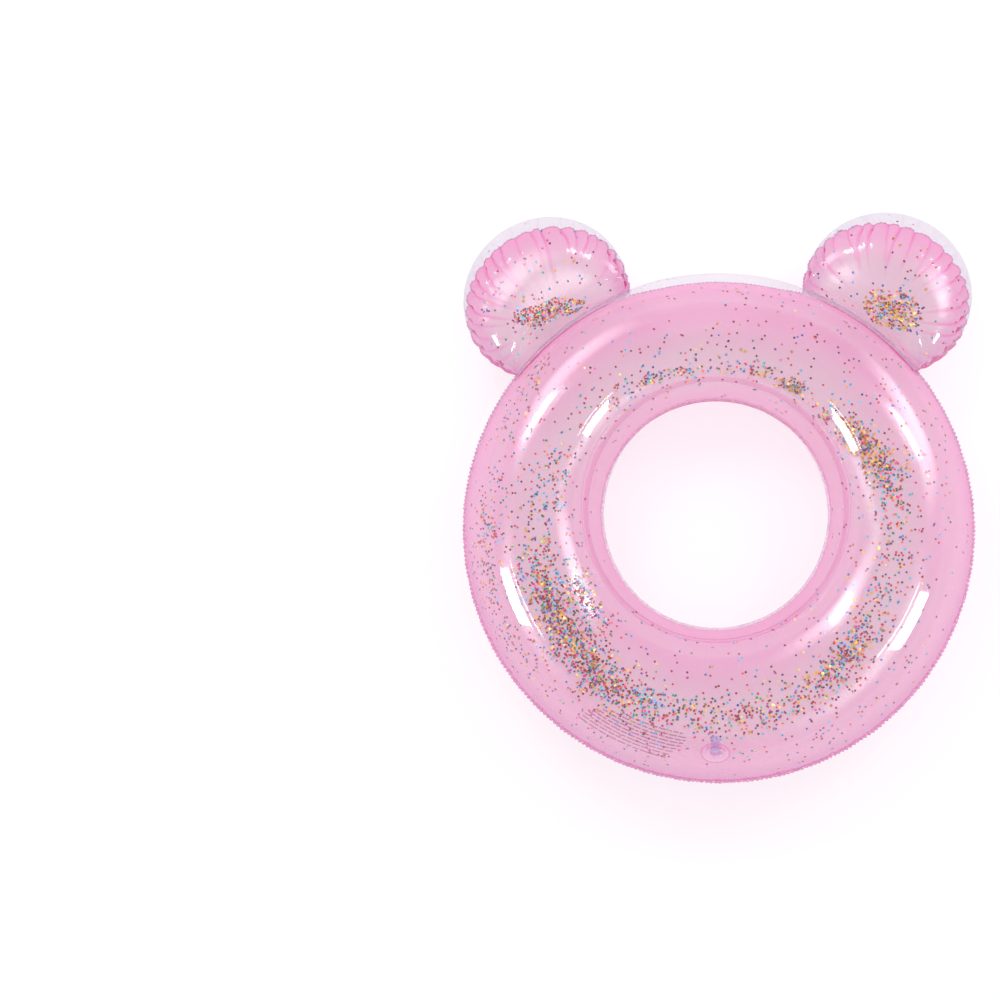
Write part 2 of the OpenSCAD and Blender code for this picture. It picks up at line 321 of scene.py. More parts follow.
def make_mesh(name, verts_mm, groups, smooth_shade=True, attrs=None, uv=None):
    """groups are arrays of faces, each array with faces of one size."""
    me = bpy.data.meshes.new(name)
    v = np.asarray(verts_mm, np.float64).reshape(-1, 3) * MM
    me.vertices.add(len(v))
    me.vertices.foreach_set("co", v.astype(np.float32).ravel())
    groups = [np.asarray(g, np.int32) for g in groups if len(g)]
    loops = np.concatenate([g.ravel() for g in groups])
    starts, at = [], 0
    for g in groups:
        starts.append(at + np.arange(len(g)) * g.shape[1])
        at += g.size
    starts = np.concatenate(starts)
    me.loops.add(len(loops))
    me.loops.foreach_set("vertex_index", loops)
    me.polygons.add(len(starts))
    me.polygons.foreach_set("loop_start", starts.astype(np.int32))
    me.polygons.foreach_set("use_smooth", np.full(len(starts), smooth_shade))
    me.update(calc_edges=True)
    me.validate()
    for k, val in (attrs or {}).items():
        a = me.attributes.new(k, "FLOAT", "POINT")
        a.data.foreach_set("value", np.asarray(val, np.float32).ravel())
    if uv is not None:
        layer = me.uv_layers.new(name="UVMap")
        idx = np.empty(len(me.loops), np.int32)
        me.loops.foreach_get("vertex_index", idx)
        layer.data.foreach_set("uv", np.asarray(uv, np.float32).reshape(-1, 2)[idx].ravel())
    ob = bpy.data.objects.new(name, me)
    bpy.context.scene.collection.objects.link(ob)
    return ob


def grid_faces(nu, nv, wrap_u, flip=False):
    i = np.arange(nu if wrap_u else nu - 1)[:, None]
    j = np.arange(nv - 1)[None, :]
    a = i * nv + j
    b = ((i + 1) % nu) * nv + j
    f = np.stack([a, b, b + 1, a + 1], -1).reshape(-1, 4)
    return f[:, ::-1] if flip else f


def dress(ob, mat, body, replaces=()):
    ob.data.materials.clear()
    ob.data.materials.append(mat)
    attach(ob, body)
    if replaces:
        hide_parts(*replaces)
    return ob


# ---------- materials ----------

def new_mat(name):
    m = bpy.data.materials.new(name)
    m.use_nodes = True
    nt = m.node_tree
    nt.nodes.clear()
    return m, nt


def node(nt, kind, **kw):
    n = nt.nodes.new(kind)
    for k, v in kw.items():
        setattr(n, k, v)
    return n


def ramp(nt, fac, stops):
    r = node(nt, "ShaderNodeValToRGB")
    r.color_ramp.interpolation = "EASE"
    while len(r.color_ramp.elements) < len(stops):
        r.color_ramp.elements.new(0.5)
    for el, (p, c) in zip(r.color_ramp.elements, stops):
        el.position = p
        el.color = (*c, 1)
    nt.links.new(fac, r.inputs["Fac"])
    return r.outputs["Color"]


def film_material(name, deep, mid, body_deep, body_mid, body_share, ior, rough, bump, cap, early=1.0):
    """A see-through PVC film: tinted sight through it, a little milky body and a glossy skin.
    The tint follows "weld", the distance in mm from the nearest weld, and deepens towards the welds as painted shade,
    for the deeper colour where the film is seen at a slant near them."""
    m, nt = new_mat(name)
    L = nt.links.new
    at = node(nt, "ShaderNodeAttribute", attribute_name="weld")
    mr = node(nt, "ShaderNodeMapRange")
    mr.inputs["From Min"].default_value = -40
    mr.inputs["From Max"].default_value = 90
    L(at.outputs["Fac"], mr.inputs["Value"])
    uv = node(nt, "ShaderNodeUVMap", uv_map="UVMap")
    # soft clouds in the tint
    cloud = node(nt, "ShaderNodeTexNoise")
    cloud.inputs["Scale"].default_value = 9.0
    cloud.inputs["Detail"].default_value = 3.0
    tc = node(nt, "ShaderNodeTexCoord")
    L(tc.outputs["Object"], cloud.inputs["Vector"])
    madd = node(nt, "ShaderNodeMath", operation="MULTIPLY_ADD")
    L(cloud.outputs["Fac"], madd.inputs[0])
    madd.inputs[1].default_value = 0.14
    madd.inputs[2].default_value = -0.07
    add = node(nt, "ShaderNodeMath", operation="ADD")
    L(mr.outputs["Result"], add.inputs[0])
    L(madd.outputs[0], add.inputs[1])
    # painted shade: the tint and the milky body deepen towards the welds, and are darkest in the creases
    see = ramp(nt, add.outputs[0], deep_to(deep, mid, early))
    bod = ramp(nt, add.outputs[0], deep_to(body_deep, body_mid, early))
    # fine lines that run along the film, and slow ripples
    mp = node(nt, "ShaderNodeMapping")
    mp.inputs["Scale"].default_value = (5.0, 150.0, 1.0)
    L(uv.outputs["UV"], mp.inputs["Vector"])
    lines = node(nt, "ShaderNodeTexNoise")
    lines.inputs["Scale"].default_value = 1.0
    lines.inputs["Detail"].default_value = 4.0
    L(mp.outputs["Vector"], lines.inputs["Vector"])
    mp2 = node(nt, "ShaderNodeMapping")
    mp2.inputs["Scale"].default_value = (22.0, 9.0, 1.0)
    L(uv.outputs["UV"], mp2.inputs["Vector"])
    slow = node(nt, "ShaderNodeTexNoise")
    slow.inputs["Scale"].default_value = 1.0
    slow.inputs["Detail"].default_value = 2.0
    L(mp2.outputs["Vector"], slow.inputs["Vector"])
    b1 = node(nt, "ShaderNodeBump")
    b1.inputs["Strength"].default_value = bump
    b1.inputs["Distance"].default_value = 0.0006
    L(lines.outputs["Fac"], b1.inputs["Height"])
    b2 = node(nt, "ShaderNodeBump")
    b2.inputs["Strength"].default_value = bump
    b2.inputs["Distance"].default_value = 0.004
    L(slow.outputs["Fac"], b2.inputs["Height"])
    sx = node(nt, "ShaderNodeSeparateXYZ")
    L(uv.outputs["UV"], sx.inputs[0])
    dd = node(nt, "ShaderNodeMath", operation="SUBTRACT")
    L(sx.outputs["Y"], dd.inputs[0])
    dd.inputs[1].default_value = 0.2138
    ab = node(nt, "ShaderNodeMath", operation="ABSOLUTE")
    L(dd.outputs[0], ab.inputs[0])
    ridge = node(nt, "ShaderNodeMapRange", interpolation_type="SMOOTHSTEP")
    ridge.inputs["From Min"].default_value = 0.0016
    ridge.inputs["From Max"].default_value = 0.0
    L(ab.outputs[0], ridge.inputs["Value"])
    b3 = node(nt, "ShaderNodeBump")
    b3.inputs["Strength"].default_value = bump * 5
    b3.inputs["Distance"].default_value = 0.0006
    L(ridge.outputs["Result"], b3.inputs["Height"])
    L(b1.outputs["Normal"], b3.inputs["Normal"])
    L(b3.outputs["Normal"], b2.inputs["Normal"])
    transp = node(nt, "ShaderNodeBsdfTransparent")
    L(see, transp.inputs["Color"])
    diff = node(nt, "ShaderNodeBsdfDiffuse")
    L(bod, diff.inputs["Color"])
    trl = node(nt, "ShaderNodeBsdfTranslucent")
    L(bod, trl.inputs["Color"])
    milk = node(nt, "ShaderNodeMixShader")
    milk.inputs["Fac"].default_value = 0.5
    L(diff.outputs[0], milk.inputs[1])
    L(trl.outputs[0], milk.inputs[2])
    body = node(nt, "ShaderNodeMixShader")
    body.inputs["Fac"].default_value = body_share
    L(transp.outputs[0], body.inputs[1])
    L(milk.outputs[0], body.inputs[2])
    gloss = node(nt, "ShaderNodeBsdfGlossy")
    gloss.inputs["Color"].default_value = (1, 1, 1, 1)
    gloss.inputs["Roughness"].default_value = rough
    L(b2.outputs["Normal"], gloss.inputs["Normal"])
    fr = node(nt, "ShaderNodeFresnel")
    fr.inputs["IOR"].default_value = ior
    out_mix = node(nt, "ShaderNodeMixShader")
    # the film is thin, so both of its sides mirror alike
    lim = node(nt, "ShaderNodeMath", operation="MINIMUM")
    L(fr.outputs[0], lim.inputs[0])
    lim.inputs[1].default_value = cap
    L(lim.outputs[0], out_mix.inputs["Fac"])
    L(body.outputs[0], out_mix.inputs[1])
    L(gloss.outputs[0], out_mix.inputs[2])
    out = node(nt, "ShaderNodeOutputMaterial")
    L(out_mix.outputs[0], out.inputs["Surface"])
    return m


def deep_to(deep, mid, early):
    mix = lambda t: tuple(deep[i] * (1 - t) + mid[i] * t for i in range(3))
    # painted shade: the first, darkest stop colours the creases in the films
    crease_shade_tint = tuple(c * f for c, f in zip(deep, (0.96, 0.66, 0.83)))
    return [(0.0, crease_shade_tint), (0.28, deep), (0.31 + 0.20 * early, mix(0.45)), (0.31 + 0.43 * early, mid), (1.0, mid)]


def weld_material(name, see, body, share, rough=0.16):
    m, nt = new_mat(name)
    L = nt.links.new
    tc = node(nt, "ShaderNodeTexCoord")
    nz = node(nt, "ShaderNodeTexNoise")
    nz.inputs["Scale"].default_value = 260.0
    nz.inputs["Detail"].default_value = 3.0
    L(tc.outputs["Object"], nz.inputs["Vector"])
    col = ramp(nt, nz.outputs["Fac"], [(0.25, tuple(c * 0.82 for c in see)), (0.75, see)])
    bod = ramp(nt, nz.outputs["Fac"], [(0.25, tuple(c * 0.85 for c in body)), (0.75, body)])
    bp = node(nt, "ShaderNodeBump")
    bp.inputs["Strength"].default_value = 0.5
    bp.inputs["Distance"].default_value = 0.0004
    L(nz.outputs["Fac"], bp.inputs["Height"])
    transp = node(nt, "ShaderNodeBsdfTransparent")
    L(col, transp.inputs["Color"])
    pr = node(nt, "ShaderNodeBsdfPrincipled")
    L(bod, pr.inputs["Base Color"])
    pr.inputs["Roughness"].default_value = rough
    pr.inputs["IOR"].default_value = 1.54
    pr.inputs["Subsurface Weight"].default_value = 0.0
    L(bp.outputs["Normal"], pr.inputs["Normal"])
    mx = node(nt, "ShaderNodeMixShader")
    mx.inputs["Fac"].default_value = share
    L(transp.outputs[0], mx.inputs[1])
    L(pr.outputs[0], mx.inputs[2])
    out = node(nt, "ShaderNodeOutputMaterial")
    L(mx.outputs[0], out.inputs["Surface"])
    return m


def foil_material(name, dark, light, metal=0.35, rough=0.32):
    """Cut metallised foil: each flake a little different, with a fine grain."""
    m, nt = new_mat(name)
    L = nt.links.new
    at = node(nt, "ShaderNodeAttribute", attribute_name="flake")
    col = ramp(nt, at.outputs["Fac"], [(0.0, dark), (0.75, light), (1.0, tuple(min(1, c * 1.25 + 0.03) for c in light))])
    tc = node(nt, "ShaderNodeTexCoord")
    nz = node(nt, "ShaderNodeTexNoise")
    nz.inputs["Scale"].default_value = 900.0
    L(tc.outputs["Object"], nz.inputs["Vector"])
    bp = node(nt, "ShaderNodeBump")
    bp.inputs["Strength"].default_value = 0.25
    bp.inputs["Distance"].default_value = 0.0002
    L(nz.outputs["Fac"], bp.inputs["Height"])
    pr = node(nt, "ShaderNodeBsdfPrincipled")
    L(col, pr.inputs["Base Color"])
    pr.inputs["Metallic"].default_value = metal
    pr.inputs["Roughness"].default_value = rough
    L(bp.outputs["Normal"], pr.inputs["Normal"])
    out = node(nt, "ShaderNodeOutputMaterial")
    L(pr.outputs[0], out.inputs["Surface"])
    return m


def vinyl_material(name, see, body, share):
    m, nt = new_mat(name)
    L = nt.links.new
    tc = node(nt, "ShaderNodeTexCoord")
    nz = node(nt, "ShaderNodeTexNoise")
    nz.inputs["Scale"].default_value = 180.0
    nz.inputs["Detail"].default_value = 4.0
    L(tc.outputs["Object"], nz.inputs["Vector"])
    bod = ramp(nt, nz.outputs["Fac"], [(0.3, tuple(c * 0.9 for c in body)), (0.7, body)])
    bp = node(nt, "ShaderNodeBump")
    bp.inputs["Strength"].default_value = 0.2
    bp.inputs["Distance"].default_value = 0.0003
    L(nz.outputs["Fac"], bp.inputs["Height"])
    transp = node(nt, "ShaderNodeBsdfTransparent")
    transp.inputs["Color"].default_value = (*see, 1)
    pr = node(nt, "ShaderNodeBsdfPrincipled")
    L(bod, pr.inputs["Base Color"])
    pr.inputs["Roughness"].default_value = 0.22
    pr.inputs["IOR"].default_value = 1.5
    L(bp.outputs["Normal"], pr.inputs["Normal"])
    mx = node(nt, "ShaderNodeMixShader")
    mx.inputs["Fac"].default_value = share
    L(transp.outputs[0], mx.inputs[1])
    L(pr.outputs[0], mx.inputs[2])
    out = node(nt, "ShaderNodeOutputMaterial")
    L(mx.outputs[0], out.inputs["Surface"])
    return m


# painted shade: each film's first colours are its deeper tint by the welds, greyish on the clear film and deep pink on
# the pink one
clear_film = film_material("clear_film", (0.83, 0.82, 0.88), (0.985, 0.98, 0.99),
                           (0.70, 0.68, 0.76), (0.92, 0.88, 0.94), 0.014, 1.49, 0.055, 0.045, 0.15, 1.0)
pink_film = film_material("pink_film", (0.89, 0.36, 0.63), (0.815, 0.62, 0.705),
                          (0.92, 0.34, 0.62), (0.83, 0.51, 0.665), 0.20, 1.5, 0.16, 0.12, 0.04)
pink_weld = weld_material("pink_weld", (0.94, 0.60, 0.79), (0.95, 0.54, 0.76), 0.40)
inner_weld = weld_material("inner_weld", (0.97, 0.86, 0.93), (0.95, 0.80, 0.89), 0.22, 0.1)
clear_weld = weld_material("clear_weld", (0.97, 0.93, 0.97), (0.96, 0.90, 0.95), 0.3, 0.08)
valve_vinyl = vinyl_material("valve_vinyl", (0.925, 0.89, 0.965), (0.82, 0.80, 0.93), 0.13)
flange_vinyl = vinyl_material("flange_vinyl", (0.94, 0.72, 0.85), (0.93, 0.70, 0.84), 0.2)


# ---------- ring films ----------

ACROSS = np.concatenate([np.linspace(0, 0.14, 8)[:-1], np.linspace(0.14, 0.5, 11)[:-1],
                         np.linspace(0.5, 2.7, 34)[:-1], np.linspace(2.7, math.pi, 11)])
NU = 1440


def ring_film(name, sign, mat, nodes):
    th = np.arange(NU) * 2 * math.pi / NU
    T, P = np.meshgrid(th, ACROSS, indexing="ij")
    p, _ = ring_surface(T, P, sign)
    # painted shade: "weld" grows away from the welds, so each film is tinted deeper near them
    weld = P * 88 if sign > 0 else np.minimum(P, math.pi - P) * 88 * 0.42
    uv = np.stack([T / (2 * math.pi) * OUT_LEN * MM, P * 88 * MM], -1)
    f = grid_faces(NU, len(ACROSS), True, flip=sign > 0)
    verts = p.reshape(-1, 3)
    if sign < 0:
        q = verts - VA
        a = q @ VN
        flat = q - a[:, None] * VN
        rad = np.linalg.norm(flat, axis=1)
        rad[a < -60] = 1e3
        hole = 17.0
        gone = (rad[f] < hole + 0.9).all(1)
        f = f[~gone]
        inside = np.zeros(len(verts), bool)
        inside[np.unique(f)] = True
        edge = inside & (rad < hole + 0.9)
        # the rim of the hole is a true circle
        verts[edge] = VA + a[edge][:, None] * VN + flat[edge] * (hole / rad[edge])[:, None]
        keep = np.unique(f)
        new = np.full(len(verts), -1)
        new[keep] = np.arange(len(keep))
        f = new[f]
        verts, weld, uv = verts[keep], weld.ravel()[keep], uv.reshape(-1, 2)[keep]
    ob = make_mesh(name, verts, [f], attrs={"weld": weld}, uv=uv)
    dress(ob, mat, "float", nodes)
    return ob


ring_film("ring_front_sheet", 1, clear_film, ["ring_front_film"])
ring_film("ring_back_sheet", -1, pink_film, ["ring_back_film"])


# ---------- welds ----------

def ear_span(side):
    """Angles of the ring's outline that an ear takes."""
    e = EAR[side]
    mid = math.pi / 2 - side * (math.pi / 2 - EAR_AL)
    return mid, math.atan2(e["yc"], e["xc"])


def ring_outline(th):
    c, n = ring_centre(th)
    r = tube_radius(th)
    return c + n * r[:, None], n


def band(name, inner, outer, thick, across, mat, slot, nodes, closed, wave=None):
    """A welded flange between two rows of points, as a thin closed band."""
    nu = len(inner)
    k = len(across)
    top, bot = [], []
    for t in across:
        p = inner * (1 - t) + outer * t
        w = wave(t) if wave is not None else 0
        z = np.zeros(nu) + w
        half = thick * (0.5 if 0 < t < 1 else 0.22)
        top.append(p + np.stack([0 * z, 0 * z, z + half], -1))
        bot.append(p + np.stack([0 * z, 0 * z, z - half], -1))
    loop = top + bot[::-1]
    v = np.stack(loop, 1)
    n = len(loop)
    i = np.arange(nu if closed else nu - 1)[:, None]
    j = np.arange(n)[None, :]
    a = i * n + j
    b = ((i + 1) % nu) * n + j
    a2, b2 = i * n + (j + 1) % n, ((i + 1) % nu) * n + (j + 1) % n
    f = np.stack([a, a2, b2, b], -1).reshape(-1, 4)
    groups = [f]
    if not closed:
        groups.append(np.array([np.arange(n), (nu - 1) * n + np.arange(n)[::-1]])[:, ::-1])
    return v.reshape(-1, 3), groups


def joined(name, parts, mat, nodes, attrs=None):
    verts, byk, at = [], {}, 0
    for v, groups in parts:
        verts.append(v)
        for g in groups:
            byk.setdefault(g.shape[1], []).append(g + at)
        at += len(v)
    ob = make_mesh(name, np.concatenate(verts), [np.concatenate(g) for g in byk.values()])
    return dress(ob, mat, "float", nodes)


TEETH = 372


def outer_run(t0, t1, closed=False):
    n = max(8, int((t1 - t0) / (2 * math.pi) * (4464)))
    th = np.linspace(t0, t1, n + 1)
    if closed:
        th = th[:-1]
    o, nrm = ring_outline(th)
    ph = th * TEETH + 1.3 * lumps(th, 77, 8, 3, 40)
    i, x, f = ring_pleats.near(th / (2 * math.pi) * OUT_LEN)
    pin = np.exp(-((x / 2.2) ** 2)) * ring_pleats.depth[i]
    wide = (3.0 + 0.85 * (0.75 + 0.35 * lumps(th, 80, 6, 5, 33)) * np.sin(ph + 0.7) + 0.45 * lumps(th, 78, 6, 10, 60) - 0.5 * pin) * (1 - 0.6 * top_share(th))
    inn = np.concatenate([o - nrm * 0.25, np.zeros((len(th), 1))], 1)
    out = np.concatenate([o + nrm * wide[:, None], np.zeros((len(th), 1))], 1)

    def wave(t):
        return (0.85 * np.sin(ph + 1.5 * t) * t + 0.5 * lumps(th, 79, 6, 14, 70) * t)
    return band("", inn, out, 0.75, [0, 0.22, 0.5, 0.78, 1.0], None, None, None, False, wave)


(rm, rh), (lm, lh) = ear_span(1), ear_span(-1)
joined("outer_weld", [outer_run(rm + rh - 0.004, lm - lh + 0.004), outer_run(lm + lh - 0.004, rm - rh + 2 * math.pi + 0.004)],
       pink_weld, ["outer_weld_seam"])

th = np.arange(1440) * 2 * math.pi / 1440
c, nrm = ring_centre(th)
rin = tube_radius(th, False)
edge_in = c - nrm * rin[:, None]
i, x, f = inner_pleats.near(th / (2 * math.pi) * inner_pleats.length)
w_in = 3.3 + 0.3 * lumps(th, 91, 6, 3, 30) - 0.35 * np.exp(-((x / 4) ** 2))
inn = np.concatenate([edge_in + nrm * 0.25, np.zeros((len(th), 1))], 1)
out = np.concatenate([edge_in - nrm * w_in[:, None], np.zeros((len(th), 1))], 1)
joined("inner_weld", [band("", inn, out, 0.7, [0, 0.3, 0.7, 1.0], None, None, None, True,
                           lambda t: 0.5 * t * lumps(th, 92, 7, 5, 48))],
       inner_weld, ["inner_weld_seam"])


# ---------- ear films ----------

def ear_boundary(side, n_out, n_arc):
    """Directions round the ear's pole, with the two corners hit exactly, and how far the edge is."""
    e = EAR[side]
    pole = EAR_E + 12
    al = np.linspace(-e["half"], e["half"], n_out + 1)
    bx, by = EAR_E + e["a"] * np.cos(al), e["a"] * np.sin(al)
    ps = math.atan2(e["yc"], e["xc"])
    be = np.linspace(ps, -ps, n_arc + 1)[1:-1]
    ax, ay = ARC * np.cos(be), ARC * np.sin(be)
    return pole, np.concatenate([bx, ax]), np.concatenate([by, ay])


def seam_in(side, al):
    """How far the weld of an ear is drawn in at its pinches."""
    e = EAR[side]
    i, x, f = e["pleats"].near((al + e["half"]) * e["a"])
    return e["pleats"].depth[i] * 4.2 * (1 - np.sin(math.pi * f) ** 0.75) + 1.2


N_OUT, N_ARC, N_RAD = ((620, 180, 56))


def ear_film(name, side, sign, mat, nodes):
    e = EAR[side]
    pole, bx, by = ear_boundary(side, N_OUT, N_ARC)
    dx, dy = bx - pole, by
    t = 1 - (1 - np.linspace(0, 1, N_RAD + 1)[1:]) ** 2
    X = pole + dx[:, None] * t[None, :]
    Y = dy[:, None] * t[None, :]
    # draw the rim in at each pinch, more the nearer to the weld
    al = np.arctan2(Y, X - EAR_E)
    rho = np.hypot(X - EAR_E, Y)
    d_arc = np.hypot(X, Y) - ARC
    h, d_out, da, _ = ear_flat(side, X, Y, sign)
    p = ear_surface(side, X, Y, sign)
    pull = seam_in(side, al) * np.exp(-(np.maximum(e["a"] - rho, 0)) / 5.0) * smooth(0, 18, d_arc)
    if sign > 0:
        pull = pull * (1 - smooth(0, 22, np.abs(h)))
    ang = al + (math.pi / 2 - side * (math.pi / 2 - EAR_AL))
    p = p - np.stack([np.cos(ang) * pull, np.sin(ang) * pull * STRETCH, 0 * pull], -1)
    # the rim lies on the weld exactly
    rim = ear_rim(side, X[:, -1], Y[:, -1])
    p[:, -1] = rim
    centre = ear_surface(side, np.array([float(pole)]), np.array([0.0]), sign)
    nb, nr = X.shape
    verts = np.concatenate([p.reshape(-1, 3), centre])
    i = np.arange(nb)[:, None]
    j = np.arange(nr - 1)[None, :]
    a = i * nr + j
    b = ((i + 1) % nb) * nr + j
    quads = np.stack([a, a + 1, b + 1, b], -1).reshape(-1, 4)
    c_i = len(verts) - 1
    tris = np.stack([np.full(nb, c_i), np.arange(nb) * nr, ((np.arange(nb) + 1) % nb) * nr], -1)
    if sign < 0:
        quads, tris = quads[:, ::-1], tris[:, ::-1]
    # painted shade: "weld" grows away from the welds, so each film is tinted deeper near them, the back film also by
    # the curved weld
    weld = np.sqrt(np.maximum(d_out, 0)) * 7 + d_out * 0.5
    if sign < 0:
        weld = np.minimum(weld, np.sqrt(np.maximum(da, 0)) * 7 + da * 0.5) * 0.85 + 6
    # painted shade: the tint is deepened in the creases that run in from the weld, where the film is also doubled up
    run = np.sqrt(np.maximum(d_out, 0)) * 8 + d_out * 0.6
    i, x_, f_ = e["pleats"].near((al + e["half"]) * e["a"])
    x_ = x_ + e["pleats"].lean[i] * run
    crease_shade = 1.25 * e["pleats"].depth[i] * np.exp(-((x_ / (1.5 + 0.03 * run)) ** 2)) * np.exp(-run / (46 * e["pleats"].reach[i])) * smooth(0, 18, da)
    weld = weld - np.clip(crease_shade, 0, 1) * (weld + 34) * (0.25 if sign > 0 else 1.0)
    weld = np.append(weld.ravel(), 90.0)
    uv = np.stack([(al * 110 + 400) * MM, (np.maximum(e["a"] - rho, 0)) * MM], -1).reshape(-1, 2)
    uv = np.concatenate([uv, [[0.4, 0.11]]])
    ob = make_mesh(name, verts, [quads, tris], attrs={"weld": weld}, uv=uv)
    dress(ob, mat, "float", nodes)
    return ob


def ear_rim(side, x, y):
    """The line where an ear's two films meet."""
    e = EAR[side]
    al = np.arctan2(y, x - EAR_E)
    d_arc = np.hypot(x, y) - ARC
    pull = seam_in(side, al) * smooth(0, 18, d_arc)
    on_arc = np.abs(d_arc) < 1e-6
    pull = np.where(on_arc, 0, pull)
    i, t, f = e["pleats"].near((al + e["half"]) * e["a"])
    z = 0.9 * np.sin(2 * math.pi * f) * smooth(0, 18, d_arc) * np.where(on_arc, 0, 1)
    px = x - np.cos(al) * pull
    py = y - np.sin(al) * pull
    return ear_place(side, px, py, z + ear_back(side, x, y)[0])


for side, word in ((-1, "left"), (1, "right")):
    ear_film(word + "_ear_front_sheet", side, 1, clear_film, [word + "_ear_front_film"])
    ear_film(word + "_ear_back_sheet", side, -1, pink_film, [word + "_ear_back_film"])
    e = EAR[side]
    # outer flange of the ear
    n = 1500
    al = np.linspace(-e["half"], e["half"], n + 1)
    x0, y0 = EAR_E + e["a"] * np.cos(al), e["a"] * np.sin(al)
    rim = ear_rim(side, x0, y0)
    ends = np.clip(np.minimum(al + e["half"], e["half"] - al) * e["a"] / 10, 0, 1)
    ph = al * e["a"] * 2 * math.pi / 5.6 + 1.2 * lumps(al, e["seed"] + 5, 8, 3, 40)
    wid = (2.2 + 0.35 * np.sin(ph + 0.6) + 0.3 * lumps(al, e["seed"] + 6, 6, 6, 30)) * (0.35 + 0.65 * ends)
    aw = al + (math.pi / 2 - side * (math.pi / 2 - EAR_AL))
    outd = np.stack([np.cos(aw) * math.cos(DROOP), np.sin(aw) * math.cos(DROOP), -0.8 * np.cos(al * 0.8)], -1)
    outer = rim + outd * wid[:, None]
    joined(word + "_ear_weld", [band("", rim - outd * 0.2, outer, 0.7, [0, 0.3, 0.7, 1.0], None, None, None, False,
                                     lambda t, ph=ph, al=al: 0.7 * t * np.sin(ph + 1.4 * t) + 0.3 * t * lumps(al, 7, 5, 9, 40))],
           pink_weld, [word + "_ear_weld_seam"])
    # the curved weld between ring and ear, with its air passage in the middle
    ps = math.atan2(e["yc"], e["xc"])
    be = np.linspace(-ps, ps, 401)
    ear_side = ear_rim(side, ARC * np.cos(be), ARC * np.sin(be))
    th_all = np.linspace(0, 2 * math.pi, 7201)
    o, _ = ring_outline(th_all)
    near = np.array([np.argmin((o[:, 0] - q[0]) ** 2 + (o[:, 1] - q[1]) ** 2) for q in ear_side])
    ring_side = np.concatenate([o[near], np.zeros((len(near), 1))], 1)
    lift = np.exp(-((be * ARC / 6.5) ** 4))
    parts = [band("", ring_side - 0.3 * (ear_side - ring_side) / 4, ear_side + 0.3 * (ear_side - ring_side) / 4, 0.8,
                  [0, 0.12, 0.3, 0.5, 0.7, 0.88, 1.0], None, None, None, False,
                  lambda t, be=be: 0.28 * lumps(be, 17, 6, 30, 110))]
    v, g = parts[0]
    v = v.reshape(len(be), -1, 3)
    k = v.shape[1] // 2
    prof = np.sin(math.pi * np.linspace(0.04, 0.96, k))
    v[:, :k, 2] += lift[:, None] * 2.4 * prof[None, :] + 0.25
    v[:, k:, 2] -= lift[:, None] * 2.4 * prof[None, ::-1] + 0.25
    # a bead of squeezed-out vinyl along the ear's edge of the weld
    tube = []
    ring_n = 8
    tang = np.gradient(ear_side, axis=0)
    tang /= np.linalg.norm(tang, axis=1, keepdims=True)
    side_v = np.cross(tang, [0, 0, 1.0])
    bead_r = 0.62 * (1 + 0.25 * lumps(be, 23, 6, 30, 90)) * np.clip((ps - np.abs(be)) * ARC / 8, 0.15, 1)
    base = ear_side * 0.75 + ring_side * 0.25 + np.array([0, 0, 0.75]) + lift[:, None] * np.array([0, 0, 1.6])
    for q in range(ring_n):
        ca, sa = math.cos(2 * math.pi * q / ring_n), math.sin(2 * math.pi * q / ring_n)
        tube.append(base + side_v * (bead_r * ca)[:, None] + np.array([0, 0, 1.0]) * (bead_r * sa)[:, None])
    tv = np.stack(tube, 1)
    nn_ = len(be)
    i = np.arange(nn_ - 1)[:, None]
    j = np.arange(ring_n)[None, :]
    a = i * ring_n + j
    b = (i + 1) * ring_n + j
    a2, b2 = i * ring_n + (j + 1) % ring_n, (i + 1) * ring_n + (j + 1) % ring_n
    tf = np.stack([a, b, b2, a2], -1).reshape(-1, 4)
    caps = np.array([np.arange(ring_n), (nn_ - 1) * ring_n + np.arange(ring_n)[::-1]])
    joined(word + "_arc_band", [(v.reshape(-1, 3), g), (tv.reshape(-1, 3), [tf, caps])],
           clear_weld, [word + "_arc_weld"])


# ---------- glitter ----------

def outline(kind):
    if kind == "dot":
        a = np.arange(9) * 2 * math.pi / 9
        return np.stack([np.cos(a), np.sin(a)], -1) * 1.52
    if kind == "star":
        a = np.arange(10) * math.pi / 5
        r = np.where(np.arange(10) % 2 == 0, 2.9, 1.3)
        return np.stack([np.cos(a) * r, np.sin(a) * r], -1)
    t = np.linspace(0, 2 * math.pi, 15)[:-1] + 0.224
    x = 16 * np.sin(t) ** 3
    y = 13 * np.cos(t) - 5 * np.cos(2 * t) - 2 * np.cos(3 * t) - np.cos(4 * t)
    return np.stack([x, y], -1)[::-1] * 0.155


def frames(n):
    """Two unit vectors square to each normal."""
    ref = np.where(np.abs(n[:, 2:3]) > 0.9, np.array([[1.0, 0, 0]]), np.array([[0, 0, 1.0]]))
    a = np.cross(ref, n)
    a /= np.linalg.norm(a, axis=1, keepdims=True)
    return a, np.cross(n, a)


def flake_mesh(name, kind, pos, nrm, turn, size, thick=0.12):
    o = outline(kind)
    k, n = len(o), len(pos)
    a, b = frames(nrm)
    ca, sa = np.cos(turn)[:, None], np.sin(turn)[:, None]
    ax, bx = a * ca + b * sa, -a * sa + b * ca
    base = pos[:, None, :] + size[:, None, None] * (o[None, :, :1] * ax[:, None, :] + o[None, :, 1:] * bx[:, None, :])
    low = base - nrm[:, None, :] * thick / 2
    top = base + nrm[:, None, :] * thick / 2
    v = np.concatenate([low, top], 1)
    st = (np.arange(n) * 2 * k)[:, None]
    i = np.arange(k)[None, :]
    quads = np.stack([st + i, st + (i + 1) % k, st + k + (i + 1) % k, st + k + i], -1).reshape(-1, 4)
    caps = np.concatenate([(st + k + i), (st + i[:, ::-1])])
    tint = np.repeat(rng.random(n), 2 * k)
    return make_mesh(name, v.reshape(-1, 3), [quads, caps], smooth_shade=False, attrs={"flake": tint})


